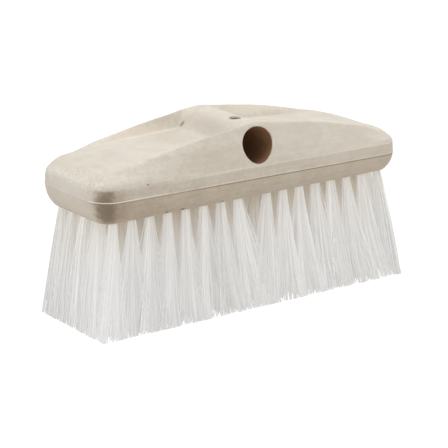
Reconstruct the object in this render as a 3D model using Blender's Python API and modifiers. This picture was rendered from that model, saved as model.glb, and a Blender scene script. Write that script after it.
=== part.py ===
"""Deck brush: a moulded plastic block with a handle socket and eighty set bristle tufts.

Metres, +Z up. The bristle tips stand on z = 0, the block's length lies along X and the
handle socket opens towards -Y. Run it with blender --background --python part.py, or from
Blender's text editor.
"""
import math

import bmesh
import bpy
import numpy as np
from mathutils import Matrix

# Block outline and levels
BLOCK_LENGTH = 0.254
BLOCK_WIDTH = 0.080
CORNER_RADIUS = 0.0150
BRISTLE_TRIM = 0.0784  # bristle length that shows, so also the height of the underside
PARTING_RISE = 0.0144  # underside up to the parting line
BAND_HEIGHT = 0.0077  # parting line up to the crease under the sloping faces
CROWN_RISE = 0.0296  # crease up to the rims at mid-length
UNDERSIDE_INSET = 0.0072  # how far the side curves in below the parting line
BAND_DRAFT = 0.0004
FLASH_PROUD = 0.0004  # thin raised line where the mould halves met
FLASH_HEIGHT = 0.0009

# Sloping faces, rims and the two recessed panels
RIM_INSET = 0.0088  # outline in to the rims' ridge, at the ends
RIM_BOW = 0.0018  # how much less that is at mid-length, as the ridges bow out
RIM_FALL = 0.0210  # how much lower the ridge is at its ends than at mid-length
ARCH_POWER = 1.38  # between a straight ridge, 1, and a parabola, 2
RIM_SHOULDER = 0.0014  # rounding on the outer side of the ridge
RIM_TOP = 0.0012  # rounding on its inner side
RIM_WALL = 0.0022  # run of the drafted wall from the ridge down to the panel
EDGE_RUN = 0.0016  # rounded edge where the end faces turn into the roof
EDGE_RISE = 0.0036
LEAST_CORNER = 0.0010
SHOULDER_SHARE = 0.95  # height of the outer rounding, as a share of the ridge's rise
RIM_TOP_SHARE = 0.10  # fall of the inner rounding, as a share of the panel's depth

# Hump over the socket
HUMP_DROP = 0.0133  # hump's crest down to the panels beside it
HUMP_FOOT = 0.0210  # mid-length to where the hump's flank meets the panel
CREST_SHARE = 0.86  # radius of the crest, as a share of the circle that would reach the foot
HUMP_SAG = 0.0010  # how far the crest sags between the rims
PANEL_SETBACK = 0.025  # block's end in to where a panel runs out level with the ridges

# Handle socket and the hole for the handle's spring button
SOCKET_BORE = 0.0254
SOCKET_DEPTH = 0.045
SOCKET_RISE = 0.0138  # crease up to the middle of the socket's mouth
SOCKET_SLOPE = math.radians(14.0)
SOCKET_CHAMFER = 0.0006
BUTTON_HOLE = 0.0085
BUTTON_SETBACK = 0.0110  # middle of the block forward to the hole's axis

# Tuft pattern
TUFT_ROWS = 5
TUFT_COLUMNS = 16
ROW_PITCH = 0.0134
COLUMN_PITCH = 0.0142
CENTRE_GAP = 0.0250  # distance between the two middle columns, under the socket
SIDE_FLARE = 0.0064  # how far the tips spread beyond the underside's long edges
END_FLARE = 0.0121  # the same beyond its two ends
STRAND_ROOT = 0.0019  # width of a strand where it leaves the block
STRAND_TIP = 0.0042
ROOT_OFFSET = 0.0019  # tuft's axis to its outer strands, along X and along Y
TIP_OFFSET_SHARE = 0.25  # the same at the tips, as a share of the tips' pitch
TIP_SCATTER = 0.0003
TIP_CUT = 0.0005  # depth by which the tips are trimmed flat
SCATTER_SEED = 7

# Slices of backing that hold the tufts in pairs, and their pockets in the block
SLICE_THICKNESS = 0.006
SLICE_MARGIN = 0.0040  # tuft's axis to the slice's edge
SLICE_CORNER = 0.0022
CLEARANCE = 0.0003
STRAND_SINK = 0.0015  # how deep a strand runs into its slice

# Cutters run this far past the faces they cut
OVERRUN = 0.004

# Counts of steps in the skin
CORNER_STEPS = 5
SIDE_STEPS = 3
END_STEPS = 2
PANEL_STEPS = 8
CROSS_STEPS = 4
CREST_STEPS = 4
BORE_STEPS = 40
BUTTON_STEPS = 20
STRAND_SIDES = 4

# Levels and lengths worked out from the sizes above
HALF_LENGTH = BLOCK_LENGTH / 2
HALF_WIDTH = BLOCK_WIDTH / 2
UNDERSIDE_Z = BRISTLE_TRIM
PARTING_Z = UNDERSIDE_Z + PARTING_RISE
CREASE_Z = PARTING_Z + BAND_HEIGHT
CREST_Z = CREASE_Z + CROWN_RISE
RIM_HALF_LENGTH = HALF_LENGTH - RIM_INSET
PANEL_INSET = RIM_INSET + RIM_TOP + RIM_WALL
PANEL_END = HALF_LENGTH - PANEL_SETBACK
HUMP_RADIUS = CREST_SHARE * (HUMP_FOOT**2 + HUMP_DROP**2) / (2 * HUMP_DROP)
STRAIGHT_HALF = HALF_LENGTH - CORNER_RADIUS

# Colours are linear red, green and blue
BLOCK_COLOUR = (0.60, 0.55, 0.46, 1.0)
BRISTLE_COLOUR = (0.72, 0.70, 0.67, 1.0)


def clear_scene():
    """Removes every object that the open scene holds."""
    for item in list(bpy.data.objects):
        bpy.data.objects.remove(item, do_unlink=True)


def new_collection(name):
    """Adds a collection under the scene's own."""
    group = bpy.data.collections.new(name)
    bpy.context.scene.collection.children.link(group)
    return group


def new_material(name, colour, roughness):
    """Makes a plain plastic material."""
    material = bpy.data.materials.new(name)
    material.use_nodes = True
    shader = material.node_tree.nodes["Principled BSDF"]
    shader.inputs["Base Color"].default_value = colour
    shader.inputs["Roughness"].default_value = roughness
    shader.inputs["Metallic"].default_value = 0.0
    material.diffuse_color = colour
    return material


def object_from_bmesh(bm, name, group):
    """Turns a bmesh into an object of the collection, with its faces pointing out."""
    bmesh.ops.recalc_face_normals(bm, faces=bm.faces[:])
    mesh = bpy.data.meshes.new(name)
    bm.to_mesh(mesh)
    bm.free()
    item = bpy.data.objects.new(name, mesh)
    group.objects.link(item)
    return item


def hide_cutter(item):
    """Shows a cutter as wires and keeps it out of renders."""
    item.display_type = "WIRE"
    item.hide_render = True


def add_boolean(item, cutter, operation):
    """Adds an exact Boolean modifier."""
    step = item.modifiers.new(cutter.name, "BOOLEAN")
    step.operation = operation
    step.solver = "EXACT"
    step.object = cutter


def ridge_height(x):
    """Height of the rims' ridge: a power curve that falls from mid-length to both ends."""
    return CREST_Z - RIM_FALL * (np.abs(x) / RIM_HALF_LENGTH) ** ARCH_POWER


def hump_angle():
    """Steepness of the hump's flank: the line from its foot that touches the crest's circle."""
    rise = HUMP_DROP - HUMP_RADIUS
    reach = math.hypot(HUMP_FOOT, rise)
    return math.atan2(rise, HUMP_FOOT) + math.asin(HUMP_RADIUS / reach)


def crest_end():
    """Distance from mid-length at which the crest's circle runs into the flank."""
    return HUMP_RADIUS * math.sin(hump_angle())


def panel_height(x):
    """Height of the surface between the rims, at their foot.

    A circle over the crest, a straight flank down to its foot, a straight panel from there to
    the ridge's level at the panel's end, and the ridge's own curve beyond.
    """
    away = np.abs(x)
    circle = np.sqrt(np.maximum(HUMP_RADIUS**2 - np.minimum(away, crest_end()) ** 2, 0.0))
    crest = CREST_Z - HUMP_RADIUS + circle
    flank = crest - np.maximum(away - crest_end(), 0.0) * math.tan(hump_angle())
    foot_z = CREST_Z - HUMP_DROP
    slope = (ridge_height(PANEL_END) - foot_z) / (PANEL_END - HUMP_FOOT)
    panel = foot_z + slope * (away - HUMP_FOOT)
    return np.select([away < HUMP_FOOT, away < PANEL_END], [flank, panel], ridge_height(x))


def crest_sag(x, share):
    """How far the hump lies below its rims: parabolas along and across, zero at foot and rims."""
    along = np.maximum(1.0 - (x / HUMP_FOOT) ** 2, 0.0)
    return HUMP_SAG * along * (1.0 - share**2)


def side_stations():
    """Cross lines of the skin along a long side, from -X to +X, as shares of its half length."""
    crest = np.linspace(0.0, crest_end(), CREST_STEPS + 1)
    middle = (crest_end() + HUMP_FOOT) / 2
    panel = np.linspace(HUMP_FOOT, PANEL_END, PANEL_STEPS + 1)
    half = np.concatenate([crest, [middle], panel, [STRAIGHT_HALF]])
    return np.concatenate([-half[:0:-1], half]) / STRAIGHT_HALF


def corner_arc(centre_x, centre_y, radius, start):
    """Points of one rounded corner, without its two ends, a quarter turn from start."""
    turn = start + np.linspace(0.0, math.pi / 2, CORNER_STEPS + 1)[1:-1]
    return np.stack([centre_x + radius * np.cos(turn), centre_y + radius * np.sin(turn)], axis=1)


def plan_outline(inset):
    """The block's outline drawn in by inset, anticlockwise from the front left corner."""
    radius = max(CORNER_RADIUS - inset, LEAST_CORNER)
    centre_x = HALF_LENGTH - inset - radius
    centre_y = HALF_WIDTH - inset - radius
    edge_y = centre_y + radius
    edge_x = centre_x + radius
    along = side_stations() * centre_x
    across = np.linspace(-centre_y, centre_y, END_STEPS + 1)
    front = np.stack([along, np.full_like(along, -edge_y)], axis=1)
    right = np.stack([np.full_like(across, edge_x), across], axis=1)
    quarter = math.pi / 2
    return np.concatenate(
        [
            front,
            corner_arc(centre_x, -centre_y, radius, -quarter),
            right,
            corner_arc(centre_x, centre_y, radius, 0.0),
            -front,
            corner_arc(-centre_x, centre_y, radius, quarter),
            -right,
            corner_arc(-centre_x, -centre_y, radius, 2 * quarter),
        ]
    )


def level(inset, height_of_x, bow=0.0):
    """One ring of the skin, as rows of x, y and z, whose long sides bow out by a parabola."""
    plan = plan_outline(inset)
    bulge = bow * np.maximum(1.0 - (plan[:, 0] / STRAIGHT_HALF) ** 2, 0.0)
    across = plan[:, 1] + np.sign(plan[:, 1]) * bulge
    height = np.broadcast_to(height_of_x(plan[:, 0]), across.shape)
    return np.column_stack([plan[:, 0], across, height])


def flat(height):
    """A height that is the same all round."""
    return lambda x: height


def face_height(share):
    """Height on the ruled face, a share of the way up from the crease to the ridge."""
    return lambda x: CREASE_Z + share * (ridge_height(x) - CREASE_Z)


def edge_height(x):
    """Height of the rounded edge above the crease, never lower than the ruled face."""
    ruled = face_height(EDGE_RUN / RIM_INSET)(x)
    return np.maximum(ruled, CREASE_Z + EDGE_RISE)


def rim_top_height(x):
    """Height of the ridge's inner rounding, which runs out where the panel is level with it."""
    return ridge_height(x) - RIM_TOP_SHARE * (ridge_height(x) - panel_height(x))


def side_levels():
    """Rings of the lower side, a circle arc that leaves the parting line upright."""
    radius = (PARTING_RISE**2 + UNDERSIDE_INSET**2) / (2 * UNDERSIDE_INSET)
    depths = np.linspace(PARTING_RISE, 0.0, SIDE_STEPS + 1)[:-1]
    return [level(radius - math.sqrt(radius**2 - depth**2), flat(PARTING_Z - depth)) for depth in depths]


def block_rings():
    """All rings of the skin, from the underside's edge up and over the rims to the panels."""
    half_flash = FLASH_HEIGHT / 2
    return side_levels() + [
        level(0.0, flat(PARTING_Z - half_flash)),
        level(-FLASH_PROUD, flat(PARTING_Z)),
        level(0.0, flat(PARTING_Z + half_flash)),
        level(BAND_DRAFT, flat(CREASE_Z)),
        level(EDGE_RUN, edge_height, RIM_BOW * EDGE_RUN / RIM_INSET),
        level(RIM_INSET - RIM_SHOULDER, face_height(SHOULDER_SHARE), RIM_BOW),
        level(RIM_INSET, ridge_height, RIM_BOW),
        level(RIM_INSET + RIM_TOP, rim_top_height, RIM_BOW),
        level(PANEL_INSET, panel_height, RIM_BOW),
    ]


def cross_line(bm, near, far):
    """Vertices from one rim's foot to the other's, on the panel or the sagging crest."""
    line = [near]
    for share in np.linspace(-1.0, 1.0, CROSS_STEPS + 1)[1:-1]:
        point = near.co.lerp(far.co, (share + 1.0) / 2)
        point.z -= crest_sag(point.x, share)
        line.append(bm.verts.new(point))
    return line + [far]


def make_block(group):
    """Lofts the block's skin through its rings and closes it with the panels and the underside."""
    bm = bmesh.new()
    rings = [[bm.verts.new(point) for point in ring] for ring in block_rings()]
    count = len(rings[0])
    for lower, upper in zip(rings, rings[1:]):
        for i in range(count):
            j = (i + 1) % count
            bm.faces.new((lower[i], lower[j], upper[j], upper[i]))
    bm.faces.new(rings[0][::-1])

    top = rings[-1]
    stations = len(side_stations())
    back_start = stations + 2 * (CORNER_STEPS - 1) + END_STEPS + 1
    front = top[:stations]
    back = top[back_start : back_start + stations][::-1]
    lines = [cross_line(bm, near, far) for near, far in zip(front, back)]
    for left, right in zip(lines, lines[1:]):
        for i in range(CROSS_STEPS):
            bm.faces.new((left[i], right[i], right[i + 1], left[i + 1]))
    bm.faces.new(top[stations:back_start] + lines[-1][::-1])
    bm.faces.new(top[back_start + stations :] + lines[0])
    return object_from_bmesh(bm, "block", group)


def socket_frame():
    """Middle of the socket's mouth on the sloping face, with +Z pointing out of the bore."""
    inset = BAND_DRAFT + (RIM_INSET - RIM_BOW - BAND_DRAFT) * SOCKET_RISE / CROWN_RISE
    place = Matrix.Translation((0.0, inset - HALF_WIDTH, CREASE_Z + SOCKET_RISE))
    return place @ Matrix.Rotation(math.pi / 2 - SOCKET_SLOPE, 4, "X")


def make_socket_cutter(group):
    """The bore with its chamfered mouth, turned from a profile."""
    radius = SOCKET_BORE / 2
    profile = [
        (0.0, OVERRUN),
        (radius + SOCKET_CHAMFER + OVERRUN, OVERRUN),
        (radius, -SOCKET_CHAMFER),
        (radius, -SOCKET_DEPTH),
        (0.0, -SOCKET_DEPTH),
    ]
    mesh = bpy.data.meshes.new("socket_cutter")
    edges = [(i, i + 1) for i in range(len(profile) - 1)]
    mesh.from_pydata([(r, 0.0, z) for r, z in profile], edges, [])
    item = bpy.data.objects.new("socket_cutter", mesh)
    group.objects.link(item)
    item.matrix_world = socket_frame()
    turn = item.modifiers.new("turn", "SCREW")
    turn.steps = BORE_STEPS
    turn.render_steps = BORE_STEPS
    turn.use_merge_vertices = True
    turn.merge_threshold = LEAST_CORNER / 100
    hide_cutter(item)
    return item


def make_button_cutter(group):
    """The upright hole from the hump's crest down into the socket."""
    top = CREST_Z + OVERRUN
    mouth = socket_frame().translation
    bore_z = mouth.z - (-BUTTON_SETBACK - mouth.y) * math.tan(SOCKET_SLOPE)
    bm = bmesh.new()
    bmesh.ops.create_cone(
        bm,
        cap_ends=True,
        segments=BUTTON_STEPS,
        radius1=BUTTON_HOLE / 2,
        radius2=BUTTON_HOLE / 2,
        depth=top - bore_z,
        matrix=Matrix.Translation((0.0, -BUTTON_SETBACK, (top + bore_z) / 2)),
    )
    item = object_from_bmesh(bm, "button_cutter", group)
    hide_cutter(item)
    return item


def column_places():
    """X of each tuft column at the underside: an even pitch, with a wider gap at mid-length."""
    half = CENTRE_GAP / 2 + COLUMN_PITCH * np.arange(TUFT_COLUMNS // 2)
    return np.concatenate([-half[::-1], half])


def row_places():
    """Y of each tuft row at the underside, front to back."""
    return ROW_PITCH * (np.arange(TUFT_ROWS) - (TUFT_ROWS - 1) / 2)


def tip_cells(count, half_extent):
    """Middles of equal cells that share out the width of the brush at its tips."""
    pitch = 2 * half_extent / count
    return pitch * (np.arange(count) - (count - 1) / 2), pitch


def add_bar(bm, centre, size, corner):
    """Adds a box with its four upright edges cut back by corner."""
    place = Matrix.Translation(centre) @ Matrix.Diagonal((*size, 1.0))
    made = bmesh.ops.create_cube(bm, size=1.0, matrix=place)
    verts = set(made["verts"])
    upright = [
        edge
        for edge in bm.edges
        if edge.verts[0] in verts and abs(edge.verts[0].co.z - edge.verts[1].co.z) > size[2] / 2
    ]
    bmesh.ops.bevel(bm, geom=upright, offset=corner, segments=1, affect="EDGES")


def slice_bar(bm, pair_x, row_y, growth):
    """Adds one slice of backing, or with a growth the pocket that it sits in.

    A pocket is larger all round by the growth and runs out through the underside.
    """
    centre_x = (pair_x[0] + pair_x[1]) / 2
    length = abs(pair_x[1] - pair_x[0]) + 2 * (SLICE_MARGIN + growth)
    width = 2 * (SLICE_MARGIN + growth)
    drop = OVERRUN if growth else 0.0
    top = UNDERSIDE_Z + SLICE_THICKNESS + growth
    bottom = UNDERSIDE_Z - drop
    add_bar(bm, (centre_x, row_y, (top + bottom) / 2), (length, width, top - bottom), SLICE_CORNER)


def tuft_pairs():
    """Row number, pair number, the two columns' numbers and places, and the row's place."""
    columns = column_places()
    for row, row_y in enumerate(row_places()):
        for pair in range(TUFT_COLUMNS // 2):
            first = 2 * pair
            yield row, pair, (first, first + 1), (columns[first], columns[first + 1]), row_y


def make_pocket_cutter(group):
    """The pockets for all slices, as one cutter."""
    bm = bmesh.new()
    for _, _, _, pair_x, row_y in tuft_pairs():
        slice_bar(bm, pair_x, row_y, CLEARANCE)
    item = object_from_bmesh(bm, "pocket_cutter", group)
    hide_cutter(item)
    return item


def add_strand(bm, root, tip):
    """Adds one tapered strand from its root, sunk in the slice, to below the trimmed plane."""
    top = UNDERSIDE_Z + STRAND_SINK
    lean = (root - tip) / UNDERSIDE_Z
    middle_z = (top - TIP_CUT) / 2
    middle = tip + lean * middle_z
    taper = (STRAND_TIP - STRAND_ROOT) / UNDERSIDE_Z
    half_diagonal = math.sqrt(2) / 2
    place = Matrix.Translation((middle[0], middle[1], middle_z)) @ Matrix.Shear("XY", 4, (lean[0], lean[1]))
    bmesh.ops.create_cone(
        bm,
        cap_ends=True,
        segments=STRAND_SIDES,
        radius1=half_diagonal * (STRAND_TIP + taper * TIP_CUT),
        radius2=half_diagonal * (STRAND_ROOT - taper * STRAND_SINK),
        depth=top + TIP_CUT,
        matrix=place,
    )


def trim_tips(bm):
    """Cuts every strand flat at the plane that the brush stands on."""
    everything = bm.verts[:] + bm.edges[:] + bm.faces[:]
    bmesh.ops.bisect_plane(bm, geom=everything, plane_co=(0, 0, 0), plane_no=(0, 0, -1), clear_outer=True)
    bmesh.ops.holes_fill(bm, edges=[edge for edge in bm.edges if edge.is_boundary])


def make_strands(name, group, columns, pair_x, row, row_y, scatter):
    """The strands of two tufts: one on each axis and four round it, fanned out to the tips."""
    tip_x, pitch_x = tip_cells(TUFT_COLUMNS, HALF_LENGTH - UNDERSIDE_INSET + END_FLARE)
    tip_y, pitch_y = tip_cells(TUFT_ROWS, HALF_WIDTH - UNDERSIDE_INSET + SIDE_FLARE)
    spread = TIP_OFFSET_SHARE * np.array([pitch_x, pitch_y])
    places = np.array([(0, 0), (-1, -1), (1, -1), (1, 1), (-1, 1)])
    bm = bmesh.new()
    for column, root_x in zip(columns, pair_x):
        root = np.array([root_x, row_y])
        tip = np.array([tip_x[column], tip_y[row]])
        for place in places:
            stray = scatter.uniform(-TIP_SCATTER, TIP_SCATTER, 2)
            add_strand(bm, root + ROOT_OFFSET * place, tip + spread * place + stray)
    trim_tips(bm)
    item = object_from_bmesh(bm, name, group)
    hide_cutter(item)
    return item


def make_tuft_pairs(group, cutters, material):
    """Every pair of tufts: a slice of backing with its strands joined to it."""
    scatter = np.random.default_rng(SCATTER_SEED)
    for row, pair, columns, pair_x, row_y in tuft_pairs():
        tag = f"r{row + 1}_p{pair + 1}"
        bm = bmesh.new()
        slice_bar(bm, pair_x, row_y, 0.0)
        item = object_from_bmesh(bm, f"tufts_{tag}", group)
        item.data.materials.append(material)
        strands = make_strands(f"strands_{tag}", cutters, columns, pair_x, row, row_y, scatter)
        strands.data.materials.append(material)
        add_boolean(item, strands, "UNION")


def main():
    clear_scene()
    part = new_collection("deck_brush")
    cutters = new_collection("cutters")
    plastic = new_material("block_plastic", BLOCK_COLOUR, 0.6)
    filament = new_material("bristle_filament", BRISTLE_COLOUR, 0.5)

    block = make_block(part)
    block.data.materials.append(plastic)
    add_boolean(block, make_pocket_cutter(cutters), "DIFFERENCE")
    add_boolean(block, make_socket_cutter(cutters), "DIFFERENCE")
    add_boolean(block, make_button_cutter(cutters), "DIFFERENCE")
    make_tuft_pairs(part, cutters, filament)


if __name__ == "__main__":
    main()
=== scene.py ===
"""Looks of a deck brush head: a moulded foam plastic block with eighty filament tufts.

Metres, +Z up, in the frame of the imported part: the tips stand on z = 0, the block's length
lies along X and the handle socket opens towards -Y.
"""
import logging
import math
from collections.abc import Callable
from dataclasses import dataclass
from enum import Enum

import bmesh
import bpy
import numpy as np
from mathutils import Matrix, Vector


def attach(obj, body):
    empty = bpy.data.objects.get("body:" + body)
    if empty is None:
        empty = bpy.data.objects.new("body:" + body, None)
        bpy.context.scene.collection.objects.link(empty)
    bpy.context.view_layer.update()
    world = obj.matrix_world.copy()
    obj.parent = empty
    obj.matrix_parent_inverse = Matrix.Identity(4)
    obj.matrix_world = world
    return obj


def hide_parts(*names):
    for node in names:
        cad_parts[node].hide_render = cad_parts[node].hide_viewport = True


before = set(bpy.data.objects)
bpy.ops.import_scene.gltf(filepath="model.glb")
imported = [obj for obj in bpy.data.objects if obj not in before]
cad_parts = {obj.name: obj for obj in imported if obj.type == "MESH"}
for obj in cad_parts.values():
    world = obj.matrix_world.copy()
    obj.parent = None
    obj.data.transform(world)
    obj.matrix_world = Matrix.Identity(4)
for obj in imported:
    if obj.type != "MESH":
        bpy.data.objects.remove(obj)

MM = 0.001

# Radians in about one turn, for starting anywhere on a circle.
ANY_TURN = 6.3

log = logging.getLogger("deck_brush")


class Part(Enum):
    """The record's material slots, by what they cover."""

    BLOCK = "block_plastic"
    BRISTLES = "bristle_filament"


class Blend(Enum):
    """How a coat mixes with the colour below it."""

    COVER = "MIX"
    # Multiplies: used for grain, flow marks, mottle and random tone, and for painted shade.
    STAIN_AND_SHADE = "MULTIPLY"


class Spread(Enum):
    """How late a tuft spreads below its hole, as the power of its filaments' paths."""

    LATEST = 1.62
    LATE = 1.40
    EVEN = 1.12
    EARLY = 0.95
    EARLIER = 0.88
    EARLIEST = 0.76


class Lamp(Enum):
    """Studio lamps, by their job."""

    KEY = "key"
    TOP = "top"
    FILL = "fill"


# Small tools


def linear(hex_colour: str) -> tuple[float, float, float, float]:
    """Turns an sRGB hex colour into linear red, green, blue and alpha.

    Args:
        hex_colour: six hex digits with a leading hash.

    Returns:
        The four numbers that Blender's sockets take.
    """
    values = [int(hex_colour[i : i + 2], 16) / 255 for i in (1, 3, 5)]
    turned = [v / 12.92 if v <= 0.04045 else ((v + 0.055) / 1.055) ** 2.4 for v in values]
    return (*turned, 1.0)


def add_node(tree: bpy.types.NodeTree, kind: str, links: dict | None = None, **settings) -> bpy.types.Node:
    """Adds a node to a tree.

    Args:
        tree: the tree that gets the node.
        kind: the node's type without the words ShaderNode.
        links: input names or numbers, each with a value or with the output that feeds it.
        **settings: the node's own properties.

    Returns:
        The new node.
    """
    node = tree.nodes.new("ShaderNode" + kind)
    for name, value in settings.items():
        setattr(node, name, value)
    for name, value in (links or {}).items():
        if isinstance(value, bpy.types.NodeSocket):
            tree.links.new(value, node.inputs[name])
        else:
            node.inputs[name].default_value = value
    return node


def new_material(name: str) -> tuple[bpy.types.Material, bpy.types.NodeTree, bpy.types.Node]:
    """Makes a material with its Principled shader.

    Args:
        name: the material's name.

    Returns:
        The material, its tree and the shader node.
    """
    material = bpy.data.materials.new(name)
    material.use_nodes = True
    tree = material.node_tree
    return material, tree, tree.nodes["Principled BSDF"]


def add_object(name: str, data: bpy.types.ID) -> bpy.types.Object:
    """Makes an object and links it to the scene.

    Args:
        name: the object's name.
        data: its mesh, light or camera.

    Returns:
        The object.
    """
    item = bpy.data.objects.new(name, data)
    bpy.context.scene.collection.objects.link(item)
    return item


def mesh_object(name: str, points: np.ndarray, faces: list) -> bpy.types.Object:
    """Makes an object from points and faces, with its place in its mesh.

    Args:
        name: the piece's name.
        points: rows of x, y and z.
        faces: lists of point numbers.

    Returns:
        The object, linked to the scene.
    """
    mesh = bpy.data.meshes.new(name)
    mesh.from_pydata(points.reshape(-1, 3).tolist(), [], faces)
    mesh.validate()
    return add_object(name, mesh)


def face_outwards(item: bpy.types.Object) -> None:
    """Merges doubled points and turns all faces outwards.

    Args:
        item: the piece, whose mesh is changed.
    """
    bm = bmesh.new()
    bm.from_mesh(item.data)
    bmesh.ops.remove_doubles(bm, verts=bm.verts, dist=0.002 * MM)
    bmesh.ops.recalc_face_normals(bm, faces=bm.faces)
    bm.to_mesh(item.data)
    bm.free()


def grid_faces(rows: int, columns: int, wrap: bool) -> np.ndarray:
    """Quads of a grid of points.

    Args:
        rows: rows of points.
        columns: points in a row.
        wrap: joins each row's last point to its first.

    Returns:
        Rows of four point numbers.
    """
    across = columns if wrap else columns - 1
    i, j = np.meshgrid(np.arange(rows - 1), np.arange(across), indexing="ij")
    k = (j + 1) % columns
    corners = [i * columns + j, i * columns + k, (i + 1) * columns + k, (i + 1) * columns + j]
    return np.stack([c.ravel() for c in corners], axis=1)


def unit_circle(angles: np.ndarray) -> np.ndarray:
    """Points (cos a, sin a), with x and y along a new last axis."""
    return np.stack([np.cos(angles), np.sin(angles)], -1)


def full_turn(steps: int) -> np.ndarray:
    """Angles that go once round a circle in even steps."""
    return np.linspace(0, 2 * math.pi, steps, endpoint=False)


def ramp(x: np.ndarray, start: float, end: float) -> np.ndarray:
    """0 before the start, 1 past the end and even in between; the end may lie before the start."""
    return np.clip((x - start) / (end - start), 0, 1)


# Finishes


@dataclass(frozen=True)
class Mark:
    """A soft spot of another colour on the plastic, such as a nick, a flow line, a painted reflection,
    painted shade and painted light.

    It keeps its strength below one height, and only a share of it, over, above that height.
    """

    centre: tuple
    radii: tuple
    paint: str
    strength: float
    below: float = 1.0
    over: float = 0.15


@dataclass(frozen=True)
class Pattern:
    """Noise of a real size on each axis; the span of it that is used becomes the levels."""

    sizes: tuple
    span: tuple
    levels: tuple = (0.0, 1.0)
    detail: float = 3.0
    rough: float = 0.5
    twist: float = 0.0


@dataclass(frozen=True)
class Fade:
    """A level that runs evenly from first to last between two places on an axis.

    With a middle, the places are distances from it, both ways.
    """

    axis: str
    start: float
    end: float
    first: float
    last: float
    middle: float | None = None


class Coat:
    """A material whose colour is laid on in coats, by pattern and by place on the object."""

    def __init__(self, name: str, colour: str, roughness: float) -> None:
        """Starts the material.

        Args:
            name: the material's name.
            colour: its first colour, in hex digits.
            roughness: its roughness.
        """
        self.material, self.tree, self.shader = new_material(name)
        self.shader.inputs["Roughness"].default_value = roughness
        self.coords = add_node(self.tree, "TexCoord").outputs["Object"]
        self.place = add_node(self.tree, "SeparateXYZ", {0: self.coords})
        self.colour = linear(colour)

    def noise(self, pattern: Pattern) -> bpy.types.NodeSocket:
        """Draws a pattern's noise at its real size.

        Args:
            pattern: the pattern.

        Returns:
            The bare noise, about 0.5 on average.
        """
        scale = tuple(1 / size for size in pattern.sizes)
        drawn = add_node(self.tree, "VectorMath", {0: self.coords, 1: scale}, operation="MULTIPLY")
        looks = {"Vector": drawn.outputs[0], "Scale": 1.0, "Detail": pattern.detail,
                 "Roughness": pattern.rough, "Distortion": pattern.twist}
        return add_node(self.tree, "TexNoise", looks).outputs["Fac"]

    def level(self, pattern: Pattern) -> bpy.types.NodeSocket:
        """A pattern's noise, with its span turned to its levels."""
        ends = dict(enumerate((*pattern.span, *pattern.levels), 1))
        return add_node(self.tree, "MapRange", {0: self.noise(pattern), **ends}).outputs[0]

    def along(self, fade: Fade) -> bpy.types.NodeSocket:
        """Reads a fade's level at each place.

        Args:
            fade: the fade.

        Returns:
            The level.
        """
        value = self.place.outputs[fade.axis]
        if fade.middle is not None:
            off = add_node(self.tree, "Math", {0: value, 1: fade.middle}, operation="SUBTRACT")
            value = add_node(self.tree, "Math", {0: off.outputs[0]}, operation="ABSOLUTE").outputs[0]
        ends = {1: fade.start, 2: fade.end, 3: fade.first, 4: fade.last}
        return add_node(self.tree, "MapRange", {0: value, **ends}).outputs[0]

    def share(self, *parts: Fade | bpy.types.NodeSocket | float) -> bpy.types.NodeSocket:
        """Multiplies levels into one share.

        Args:
            *parts: fades, outputs of nodes, or numbers after the first.

        Returns:
            Their product.
        """
        levels = [self.along(part) if isinstance(part, Fade) else part for part in parts]
        product = levels[0]
        for level in levels[1:]:
            product = add_node(self.tree, "Math", {0: product, 1: level}, operation="MULTIPLY").outputs[0]
        return product

    def lay(self, share: bpy.types.NodeSocket | float, paint: bpy.types.NodeSocket | str,
            blend: Blend = Blend.COVER) -> None:
        """Lays a coat on the colour so far.

        Args:
            share: how much of the coat shows.
            paint: its colour or level, or a colour in hex digits.
            blend: how it mixes with what lies below.
        """
        over = linear(paint) if isinstance(paint, str) else paint
        mixed = add_node(self.tree, "Mix", {0: share, 6: self.colour, 7: over}, data_type="RGBA",
                         blend_type=blend.value)
        self.colour = mixed.outputs[2]

    def finish(self) -> bpy.types.Material:
        """Joins the colour to the shader and gives the material."""
        self.tree.links.new(self.colour, self.shader.inputs["Base Color"])
        return self.material


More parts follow.
